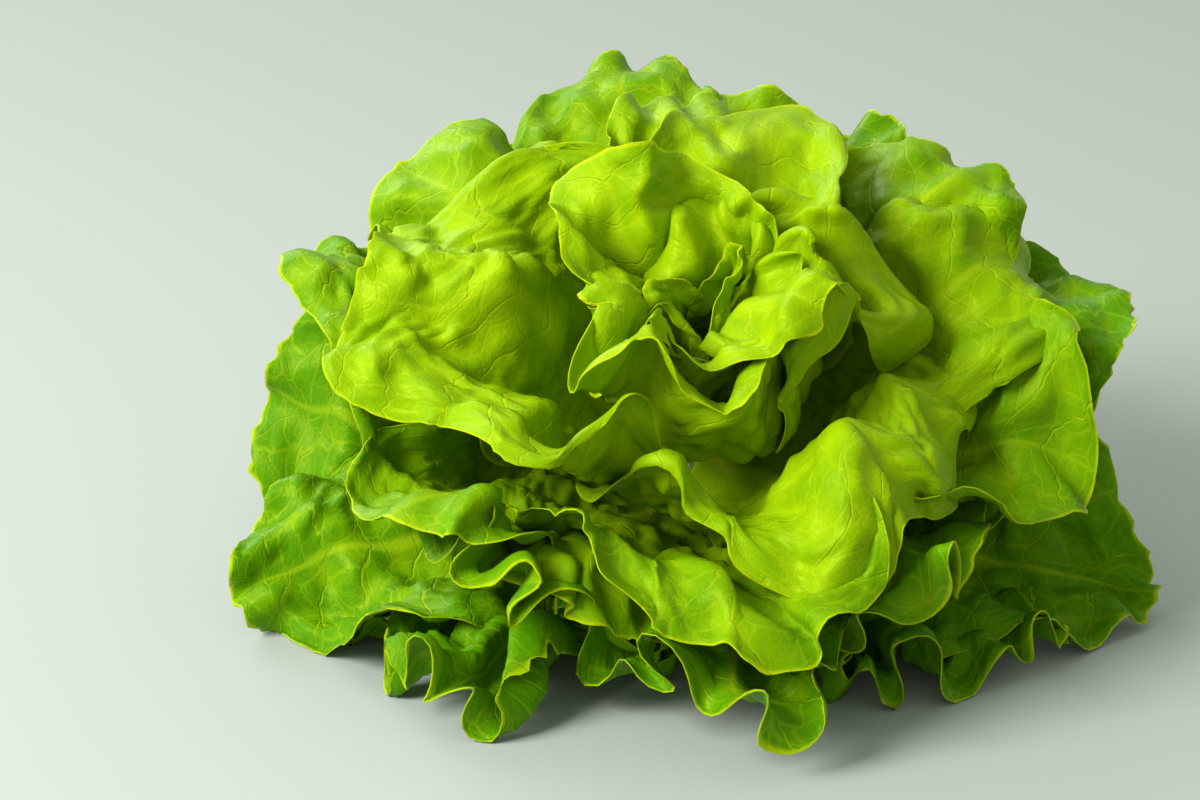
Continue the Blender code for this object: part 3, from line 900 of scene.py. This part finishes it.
    def faces(self, side: Grid, length: Grid) -> tuple[Grid, Grid, Grid]:
        """The finished upper and lower face of the blade.

        Args:
            side: Sideways places in mm.
            length: Lengthwise places in mm.

        Returns:
            The upper face, the lower face and how high each place is on its blister.
        """
        base = self.sheet(side, length)
        height, swelling = self.raised(side, length)
        upper = base + self.softened(self.normals(base)) * height[..., None]
        upper[..., 2] = np.maximum(upper[..., 2], self.thickness)
        rib = np.exp(-((self.across / self.rib_half_width) ** 2)) * (1.0 - self.rib_thinning * self.up)
        off_rim = ease(self.to_rim(side, length) / self.rim_width)
        body = self.rim_thickness + (self.thickness - self.rim_thickness) * off_rim
        depth = body + (self.rib_thickness - self.thickness) * rib
        lower = upper - self.normals(upper) * depth[..., None]
        lower[..., 2] = np.maximum(lower[..., 2], 0.0)
        return upper, lower, swelling

    @staticmethod
    def normals(points: Grid) -> Grid:
        """Unit normals of a grid of points, towards the leaf's upper face."""
        normal = np.cross(np.gradient(points, axis=1), np.gradient(points, axis=0))
        return normal / np.maximum(np.linalg.norm(normal, axis=2, keepdims=True), TINY)

    def softened(self, normals: Grid) -> Grid:
        """Evens out directions over a few cells, so that a tight fold throws up no spikes.

        Args:
            normals: Unit normals of a grid of points.

        Returns:
            The evened unit normals.
        """
        for _ in range(self.softening):
            for axis in (0, 1):
                ends = normals.take([0], axis), normals.take([-1], axis)
                spread = np.concatenate([ends[0], normals, ends[1]], axis=axis)
                count = normals.shape[axis]
                before = spread.take(range(count), axis)
                after = spread.take(range(2, count + 2), axis)
                normals = 0.5 * normals + 0.25 * (before + after)
        return normals / np.maximum(np.linalg.norm(normals, axis=2, keepdims=True), TINY)

    def closed_grid(self) -> bpy.types.Object:
        """Makes a flat grid with a skin of its own on both sides, which is then bent.

        Returns:
            The grid's object, two units wide and deep, with its lower skin in the second slot.
        """
        bpy.ops.object.select_all(action="DESELECT")
        bpy.ops.mesh.primitive_grid_add(
            x_subdivisions=self.columns, y_subdivisions=self.rows, size=2.0, calc_uvs=True
        )
        sheet = bpy.context.active_object
        sheet.name = f"{self.leaf.node}_blade"
        sheet.data.name = sheet.name
        skin = sheet.modifiers.new("skin", "SOLIDIFY")
        skin.thickness = self.flat_gap
        skin.offset = -1.0
        skin.material_offset = 1
        bpy.ops.object.modifier_apply(modifier=skin.name)
        return sheet

    def build(self) -> bpy.types.Object:
        """Makes the blade with the attributes that its finish reads.

        Returns:
            The blade's mesh object.
        """
        sheet = self.closed_grid()
        mesh = sheet.data
        flat = np.empty(len(mesh.vertices) * 3, dtype=np.float32)
        mesh.vertices.foreach_get("co", flat)
        flat = flat.reshape(-1, 3)
        column = np.rint((flat[:, 0] + 1.0) * 0.5 * self.columns).astype(int)
        row = np.rint((flat[:, 1] + 1.0) * 0.5 * self.rows).astype(int)
        below = flat[:, 2] < -0.5 * self.flat_gap
        side, length = self.flat()
        edge = self.to_rim(side, length)
        upper, lower, swelling = self.faces(*self.toothed(side, length))
        places = np.where(below[:, None], lower[row, column], upper[row, column]) * MM
        mesh.vertices.foreach_set("co", places.astype(np.float32).ravel())
        tone = (self.layer - self.form.inner_layer) / (self.form.outer_layer - self.form.inner_layer)
        values = {
            "rim_distance": edge,
            "reach": np.broadcast_to(self.up, edge.shape),
            "tone": np.full_like(edge, tone),
            "swelling": swelling,
            "vein_count": self.vein_phase(side, length),
            "rib_distance": side,
        }
        for name, value in values.items():
            attribute = mesh.attributes.new(name, "FLOAT", "POINT")
            attribute.data.foreach_set("value", value[row, column].astype(np.float32))
        self.unwrap(mesh, side[row, column], length[row, column])
        bpy.ops.object.shade_smooth_by_angle(angle=self.smooth_angle)
        return sheet

    @staticmethod
    def unwrap(mesh: bpy.types.Mesh, side: Grid, length: Grid) -> None:
        """Sets the blade's UV map to its flat places in centimetres.

        Args:
            mesh: The blade's mesh.
            side: Each vertex's sideways place in mm.
            length: Each vertex's lengthwise place in mm.
        """
        corner = np.empty(len(mesh.loops), dtype=np.int32)
        mesh.loops.foreach_get("vertex_index", corner)
        flat = np.stack([side, length], axis=-1)[corner] * CM_IN_A_MM
        layer = mesh.uv_layers[0]
        layer.name = "blade"
        layer.data.foreach_set("uv", flat.astype(np.float32).ravel())


class Sketch:
    """Places shader nodes in a tree and links them.

    The MIX numbers are where a colour mix node keeps its sockets.
    """

    MIX_SHARE = 0
    MIX_COLOURS = (6, 7)
    MIX_RESULT = 2

    def __init__(self, tree: bpy.types.NodeTree) -> None:
        """Takes the tree that the nodes go in."""
        self.tree = tree

    def node(self, kind: str, **settings: object) -> bpy.types.Node:
        """Adds a node.

        Args:
            kind: The node's type.
            **settings: Its properties by name.

        Returns:
            The node.
        """
        node = self.tree.nodes.new(kind)
        for name, value in settings.items():
            setattr(node, name, value)
        return node

    def feed(self, socket: Socket, value: object) -> None:
        """Links a socket into another, or sets its plain value.

        Args:
            socket: The socket that takes the value.
            value: A socket or a plain value.
        """
        if isinstance(value, Socket):
            self.tree.links.new(value, socket)
        else:
            socket.default_value = value

    def math(self, operation: str, *values: object) -> Socket:
        """Works out one, two or three values.

        Args:
            operation: The math node's operation.
            *values: Sockets or plain numbers.

        Returns:
            The outcome.
        """
        node = self.node("ShaderNodeMath", operation=operation)
        for socket, value in zip(node.inputs, values):
            self.feed(socket, value)
        return node.outputs[0]

    def step(self, value: object, low: object, high: object) -> Socket:
        """Makes a smooth step.

        Args:
            value: What it goes by.
            low: Where it's 0.
            high: Where it's 1.

        Returns:
            The step.
        """
        node = self.node("ShaderNodeMapRange", interpolation_type="SMOOTHSTEP")
        for name, entry in (("Value", value), ("From Min", low), ("From Max", high)):
            self.feed(node.inputs[name], entry)
        return node.outputs["Result"]

    def fall(self, value: object, low: object, high: object) -> Socket:
        """A smooth step down from 1 at low to 0 at high."""
        return self.math("SUBTRACT", 1.0, self.step(value, low, high))

    def mix(self, share: object, first: object, second: object) -> Socket:
        """Mixes two colours.

        Args:
            share: How much of the second colour there is.
            first: The first colour.
            second: The second colour.

        Returns:
            The mixed colour.
        """
        node = self.node("ShaderNodeMix", data_type="RGBA")
        self.feed(node.inputs[self.MIX_SHARE], share)
        for place, colour in zip(self.MIX_COLOURS, (first, second)):
            self.feed(node.inputs[place], colour)
        return node.outputs[self.MIX_RESULT]

    def value_of(self, name: str) -> Socket:
        """One of the blade's own attributes."""
        return self.node("ShaderNodeAttribute", attribute_name=name).outputs["Fac"]

    def noise(self, vector: object, scale: float, detail: float = 3.0) -> Socket:
        """Makes cloudy noise.

        Args:
            vector: The place that it goes by.
            scale: How fine it is.
            detail: How many finer layers it has.

        Returns:
            The noise, between 0 and 1.
        """
        node = self.node("ShaderNodeTexNoise")
        self.feed(node.inputs["Vector"], vector)
        node.inputs["Scale"].default_value = scale
        node.inputs["Detail"].default_value = detail
        return node.outputs["Fac"]

    def net(self, vector: object, scale: float) -> Socket:
        """Makes an irregular net.

        Args:
            vector: The place that it goes by.
            scale: How fine it is.

        Returns:
            The distance from the net's lines.
        """
        node = self.node("ShaderNodeTexVoronoi", feature="DISTANCE_TO_EDGE")
        self.feed(node.inputs["Vector"], vector)
        node.inputs["Scale"].default_value = scale
        return node.outputs["Distance"]


@dataclass(frozen=True)
class LeafSkin:
    """The shader group that all leaves share: veins, net, mottling, painted shade in the creases, pale rim
    and relief.

    Edges are where a line is at its full strength and where it ends. For the tone they are where
    up the blade it starts to deepen and where it stops.
    """

    name: str = "leaf_skin"
    colours: tuple[str, ...] = ("Heart", "Outside", "Vein", "Rim")
    amounts: tuple[str, ...] = ("Vein Amount", "Net Amount", "Roughness")
    mottle_scale: float = 70.0
    mottled_roughness: float = 0.24
    mottled_tone: float = 0.5
    grain_scale: float = 900.0
    grain_detail: float = 2.0
    grain_height: float = 0.22
    rim_edges: Span = (0.3, 1.3)
    rim_share: float = 0.5
    bend_scale: float = 1.3
    bend_size: float = 0.55
    vein_wander: float = 0.5
    vein_start: float = 0.008
    vein_width: float = 0.075
    vein_thinning: float = 0.05
    vein_depth: float = 0.9
    coarse_scale: float = 1.1
    coarse_edges: Span = (0.01, 0.06)
    fine_scale: float = 3.4
    fine_edges: Span = (0.01, 0.09)
    fine_share: float = 0.45
    net_depth: float = 0.5
    rib_half_width: float = 8.0
    rib_narrowing: float = 7.4
    rib_taper: float = 0.6
    rib_core: float = 0.2
    rib_fading: float = 0.8
    rib_fading_curve: float = 0.5
    least_tone: float = 0.32
    tone_curve: float = 0.72
    tone_edges: Span = (0.1, 0.85)
    foot_tone: float = 0.7
    tip_tone: float = 0.3
    # painted shade: how far the creases between blisters are pushed towards the deeper colour
    crease_painted_shade: float = 0.3

    def build(self) -> bpy.types.NodeTree:
        """Makes the group once.

        Returns:
            The group's node tree.
        """
        tree = bpy.data.node_groups.new(self.name, "ShaderNodeTree")
        for name in self.colours:
            tree.interface.new_socket(name, in_out="INPUT", socket_type="NodeSocketColor")
        for name in self.amounts:
            tree.interface.new_socket(name, in_out="INPUT", socket_type="NodeSocketFloat")
        tree.interface.new_socket("Color", in_out="OUTPUT", socket_type="NodeSocketColor")
        tree.interface.new_socket("Roughness", in_out="OUTPUT", socket_type="NodeSocketFloat")
        tree.interface.new_socket("Height", in_out="OUTPUT", socket_type="NodeSocketFloat")
        sketch = Sketch(tree)
        given = sketch.node("NodeGroupInput").outputs
        result = sketch.node("NodeGroupOutput").inputs
        veins, net = self.lines(sketch)
        veins = sketch.math("MULTIPLY", veins, given["Vein Amount"])
        net = sketch.math("MULTIPLY", net, given["Net Amount"])
        place = sketch.node("ShaderNodeTexCoord").outputs["Object"]
        mottle = sketch.noise(place, self.mottle_scale)
        depth = self.tone(sketch, mottle)
        colour = sketch.mix(depth, given["Heart"], given["Outside"])
        lines = sketch.math("MAXIMUM", sketch.math("MAXIMUM", veins, net), self.rib(sketch))
        colour = sketch.mix(lines, colour, given["Vein"])
        rim = sketch.fall(sketch.value_of("rim_distance"), *self.rim_edges)
        colour = sketch.mix(sketch.math("MULTIPLY", rim, self.rim_share), colour, given["Rim"])
        sketch.feed(result["Color"], colour)
        mottling = self.centred(sketch, mottle, self.mottled_roughness)
        sketch.feed(result["Roughness"], sketch.math("ADD", given["Roughness"], mottling))
        sunk = sketch.math("MULTIPLY", veins, -self.vein_depth)
        sunk = sketch.math("MULTIPLY_ADD", net, -self.net_depth, sunk)
        grain = sketch.noise(place, self.grain_scale, self.grain_detail)
        sketch.feed(result["Height"], sketch.math("MULTIPLY_ADD", grain, self.grain_height, sunk))
        return tree

    @staticmethod
    def centred(sketch: Sketch, noise: Socket, size: float) -> Socket:
        """The noise as an amount round 0, as wide as its size."""
        return sketch.math("MULTIPLY_ADD", noise, size, -0.5 * size)

    def lines(self, sketch: Sketch) -> tuple[Socket, Socket]:
        """Draws the side veins and the net between them.

        Args:
            sketch: What the group's nodes are placed with.

        Returns:
            The side veins and the net, each from 0 to 1.
        """
        flat = sketch.node("ShaderNodeUVMap", uv_map="blade").outputs["UV"]
        bend = sketch.node("ShaderNodeTexNoise")
        sketch.feed(bend.inputs["Vector"], flat)
        bend.inputs["Scale"].default_value = self.bend_scale
        warp = sketch.node("ShaderNodeVectorMath", operation="MULTIPLY_ADD")
        sketch.feed(warp.inputs[0], bend.outputs["Color"])
        warp.inputs[1].default_value = (self.bend_size, self.bend_size, 0.0)
        sketch.feed(warp.inputs[2], flat)
        count = sketch.value_of("vein_count")
        wander = sketch.math("MULTIPLY_ADD", bend.outputs["Fac"], self.vein_wander, count)
        from_vein = sketch.math("PINGPONG", wander, 0.5)
        reach = sketch.value_of("reach")
        width = sketch.math("MULTIPLY_ADD", reach, -self.vein_thinning, self.vein_width)
        veins = sketch.fall(from_vein, self.vein_start, width)
        coarse = sketch.fall(sketch.net(warp.outputs[0], self.coarse_scale), *self.coarse_edges)
        fine = sketch.fall(sketch.net(warp.outputs[0], self.fine_scale), *self.fine_edges)
        fine = sketch.math("MULTIPLY", fine, self.fine_share)
        return veins, sketch.math("MAXIMUM", coarse, fine)

    def rib(self, sketch: Sketch) -> Socket:
        """Draws the pale rib, narrower and fainter towards the tip.

        Args:
            sketch: What the group's nodes are placed with.

        Returns:
            The rib, from 0 to 1.
        """
        reach = sketch.value_of("reach")
        beside = sketch.math("ABSOLUTE", sketch.value_of("rib_distance"))
        taper = sketch.math("POWER", reach, self.rib_taper)
        half = sketch.math("MULTIPLY_ADD", taper, -self.rib_narrowing, self.rib_half_width)
        rib = sketch.fall(beside, sketch.math("MULTIPLY", half, self.rib_core), half)
        faded = sketch.math("POWER", reach, self.rib_fading_curve)
        near = sketch.math("MULTIPLY_ADD", faded, -self.rib_fading, 1.0)
        return sketch.math("MULTIPLY", rib, near)

    def tone(self, sketch: Sketch, mottle: Socket) -> Socket:
        """Works out the depth of the blade's colour: paler in the heart, deeper towards the outer leaves,
        with painted shade deepening it in the creases between blisters.

        Args:
            sketch: What the group's nodes are placed with.
            mottle: The cloudy noise over the blade.

        Returns:
            How far the colour is from the heart's to the outside's, from 0 to 1.
        """
        tone = sketch.math("POWER", sketch.value_of("tone"), self.tone_curve)
        tone = sketch.math("MAXIMUM", tone, self.least_tone)
        tone = sketch.math("ADD", tone, self.centred(sketch, mottle, self.mottled_tone))
        reach = sketch.step(sketch.value_of("reach"), *self.tone_edges)
        reach = sketch.math("MULTIPLY_ADD", reach, self.tip_tone, self.foot_tone)
        # painted shade: the lower a place sits between blisters, the deeper its colour
        crease = sketch.math("SUBTRACT", 1.0, sketch.value_of("swelling"))
        tone = sketch.math("MULTIPLY", tone, reach)
        share = sketch.math("MULTIPLY_ADD", crease, self.crease_painted_shade, tone)
        return sketch.math("MINIMUM", sketch.math("MAXIMUM", share, 0.0), 1.0)


@dataclass(frozen=True)
class LeafFinish:
    """How one face of the leaves looks."""

    name: str
    heart: Colour
    outside: Colour
    vein: Colour
    rim: Colour
    vein_amount: float
    net_amount: float
    roughness: float
    bump: float
    bump_distance: float = 0.0009
    glow: float = 0.2
    glow_radius: Colour = (0.8, 1.0, 0.05)
    glow_scale: float = 0.002
    gloss: float = 0.2
    gloss_tint: Colour = (0.9, 1.0, 0.08)

    def material(self, skin: LeafSkin, group: bpy.types.NodeTree) -> bpy.types.Material:
        """Makes the face's material from the shared skin.

        Args:
            skin: The skin that all leaves share.
            group: The shader group that the skin has built.

        Returns:
            The material.
        """
        material = bpy.data.materials.new(self.name)
        material.use_nodes = True
        sketch = Sketch(material.node_tree)
        shader = material.node_tree.nodes["Principled BSDF"]
        dressed = sketch.node("ShaderNodeGroup", node_tree=group)
        for name, colour in zip(skin.colours, (self.heart, self.outside, self.vein, self.rim)):
            dressed.inputs[name].default_value = (*colour, 1.0)
        for name, amount in zip(skin.amounts, (self.vein_amount, self.net_amount, self.roughness)):
            dressed.inputs[name].default_value = amount
        sketch.feed(shader.inputs["Base Color"], dressed.outputs["Color"])
        sketch.feed(shader.inputs["Roughness"], dressed.outputs["Roughness"])
        bump = sketch.node("ShaderNodeBump")
        bump.inputs["Strength"].default_value = self.bump
        bump.inputs["Distance"].default_value = self.bump_distance
        sketch.feed(bump.inputs["Height"], dressed.outputs["Height"])
        sketch.feed(shader.inputs["Normal"], bump.outputs["Normal"])
        shader.inputs["Subsurface Weight"].default_value = self.glow
        shader.inputs["Subsurface Radius"].default_value = self.glow_radius
        shader.inputs["Subsurface Scale"].default_value = self.glow_scale
        shader.inputs["Specular IOR Level"].default_value = self.gloss
        shader.inputs["Specular Tint"].default_value = (*self.gloss_tint, 1.0)
        return material


UPPER_FINISH = LeafFinish(
    name="leaf_upper_face",
    heart=(0.39, 0.55, 0.001),
    outside=(0.065, 0.21, 0.001),
    vein=(0.42, 0.54, 0.008),
    rim=(0.50, 0.57, 0.002),
    vein_amount=0.28,
    net_amount=0.16,
    roughness=0.4,
    bump=0.8,
)
LOWER_FINISH = LeafFinish(
    name="leaf_lower_face",
    heart=(0.33, 0.50, 0.004),
    outside=(0.12, 0.29, 0.006),
    vein=(0.40, 0.54, 0.05),
    rim=(0.48, 0.59, 0.008),
    vein_amount=0.5,
    net_amount=0.25,
    roughness=0.46,
    bump=0.9,
)


@dataclass(frozen=True)
class StemFinish:
    """The pale, moist flesh of the cut stem."""

    name: str = "stem_flesh"
    flesh: Colour = (0.58, 0.70, 0.24)
    fibre: Colour = (0.45, 0.58, 0.22)
    cut: Colour = (0.50, 0.42, 0.18)
    cut_depth: float = 0.004
    cut_scale: float = 160.0
    fibre_scale: float = 900.0
    fibre_stretch: float = 0.15
    fibre_share: float = 0.4
    roughness: float = 0.35
    fibre_roughness: float = 0.3
    fibre_height: float = 0.0003

    def material(self) -> bpy.types.Material:
        """Makes the stem's material: pale flesh with fibres, browned where it's cut.

        Returns:
            The material.
        """
        material = bpy.data.materials.new(self.name)
        material.use_nodes = True
        sketch = Sketch(material.node_tree)
        shader = material.node_tree.nodes["Principled BSDF"]
        place = sketch.node("ShaderNodeTexCoord").outputs["Object"]
        apart = sketch.node("ShaderNodeSeparateXYZ")
        sketch.feed(apart.inputs[0], place)
        uneven = sketch.math("MULTIPLY", sketch.noise(place, self.cut_scale), self.cut_depth)
        above = sketch.math("SUBTRACT", apart.outputs["Z"], uneven)
        browned = sketch.fall(above, 0.0, self.cut_depth)
        stretched = sketch.node("ShaderNodeMapping")
        sketch.feed(stretched.inputs["Vector"], place)
        stretched.inputs["Scale"].default_value = (1.0, 1.0, self.fibre_stretch)
        fibres = sketch.noise(stretched.outputs[0], self.fibre_scale)
        share = sketch.math("MULTIPLY", fibres, self.fibre_share)
        colour = sketch.mix(share, (*self.flesh, 1.0), (*self.fibre, 1.0))
        colour = sketch.mix(browned, colour, (*self.cut, 1.0))
        sketch.feed(shader.inputs["Base Color"], colour)
        rough = sketch.math("MULTIPLY_ADD", fibres, self.fibre_roughness, self.roughness)
        sketch.feed(shader.inputs["Roughness"], rough)
        bump = sketch.node("ShaderNodeBump")
        bump.inputs["Distance"].default_value = self.fibre_height
        sketch.feed(bump.inputs["Height"], fibres)
        sketch.feed(shader.inputs["Normal"], bump.outputs["Normal"])
        return material


class Lettuce:
    """The head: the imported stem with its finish, and a finished blade for every leaf."""

    def __init__(self, form: HeadForm, skin: LeafSkin) -> None:
        """Takes the head's form and the skin that its leaves share."""
        self.form = form
        self.skin = skin

    def dress_stem(self) -> None:
        """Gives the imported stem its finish."""
        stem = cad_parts["stem"]
        stem.data.materials.clear()
        stem.data.materials.append(StemFinish().material())
        LOG.info("stem: finished")

    def dress_leaves(self) -> None:
        """Builds every leaf's blade and sets it in place of its solid."""
        group = self.skin.build()
        finishes = [finish.material(self.skin, group) for finish in (UPPER_FINISH, LOWER_FINISH)]
        tables = self.form.tables()
        total = 0
        for leaf, layer in self.form.stacked(LEAVES):
            blade = Blade(leaf, layer, self.form, tables).build()
            for finish in finishes:
                blade.data.materials.append(finish)
            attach(blade, "root")
            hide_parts(leaf.node)
            triangles = 2 * len(blade.data.polygons)
            total += triangles
            LOG.info("%s: %d triangles", blade.name, triangles)
        LOG.info("all leaves: %d triangles", total)


@dataclass(frozen=True)
class Lamp:
    """One soft square light that looks at the head."""

    name: str
    place: Vector
    size: float
    power: float
    target: Vector = Vector((0.0, 0.0, 0.06))

    def build(self) -> None:
        """Adds the light to the scene."""
        light = bpy.data.lights.new(self.name, "AREA")
        light.energy = self.power
        light.size = self.size
        lamp = bpy.data.objects.new(self.name, light)
        bpy.context.scene.collection.objects.link(lamp)
        lamp.location = self.place
        lamp.rotation_mode = "QUATERNION"
        lamp.rotation_quaternion = (self.target - self.place).to_track_quat("-Z", "Y")


@dataclass(frozen=True)
class Studio:
    """A pale floor, soft light from the upper left and the camera."""

    floor_size: float = 40.0
    floor_colour: Colour = (0.385, 0.42, 0.375)
    floor_roughness: float = 0.75
    sky_colour: Colour = (0.92, 0.98, 0.93)
    sky_strength: float = 0.64
    lens: float = 85.0
    elevation: float = math.radians(21)
    target: Vector = Vector((-0.0284, 0.0144, 0.0537))
    distance: float = 0.872
    lamps: tuple[Lamp, ...] = (
        Lamp("key", Vector((-1.35, -0.75, 1.15)), size=0.9, power=60.0),
        Lamp("back", Vector((-1.7, 2.1, 1.9)), size=1.6, power=38.0),
    )

    def build(self) -> None:
        """Sets up the floor, the light and the camera."""
        self.floor()
        self.sky()
        for lamp in self.lamps:
            lamp.build()
        self.camera()
        bpy.context.scene.view_settings.view_transform = "Standard"
        LOG.info("studio: ready")

    def floor(self) -> None:
        """Makes the pale surface that the head rests on."""
        bpy.ops.object.select_all(action="DESELECT")
        bpy.ops.mesh.primitive_plane_add(size=self.floor_size)
        floor = bpy.context.active_object
        floor.name = "floor"
        material = bpy.data.materials.new("floor")
        material.use_nodes = True
        shader = material.node_tree.nodes["Principled BSDF"]
        shader.inputs["Base Color"].default_value = (*self.floor_colour, 1.0)
        shader.inputs["Roughness"].default_value = self.floor_roughness
        floor.data.materials.append(material)

    def sky(self) -> None:
        """Lights the scene evenly from all round."""
        world = bpy.data.worlds.new("studio")
        bpy.context.scene.world = world
        world.use_nodes = True
        background = world.node_tree.nodes["Background"]
        background.inputs["Color"].default_value = (*self.sky_colour, 1.0)
        background.inputs["Strength"].default_value = self.sky_strength

    def camera(self) -> None:
        """Sets the camera in front of the head, a little above it."""
        back = Vector((0.0, -math.cos(self.elevation), math.sin(self.elevation)))
        view = bpy.data.cameras.new("camera")
        view.lens = self.lens
        camera = bpy.data.objects.new("camera", view)
        bpy.context.scene.collection.objects.link(camera)
        camera.location = self.target + back * self.distance
        camera.rotation_mode = "QUATERNION"
        camera.rotation_quaternion = (-back).to_track_quat("-Z", "Y")
        bpy.context.scene.camera = camera


def main() -> None:
    """Dresses the head and sets up the studio."""
    logging.basicConfig(level=logging.INFO, format="%(message)s")
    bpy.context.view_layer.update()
    lettuce = Lettuce(HeadForm(), LeafSkin())
    lettuce.dress_stem()
    lettuce.dress_leaves()
    Studio().build()


if __name__ == "__main__":
    main()
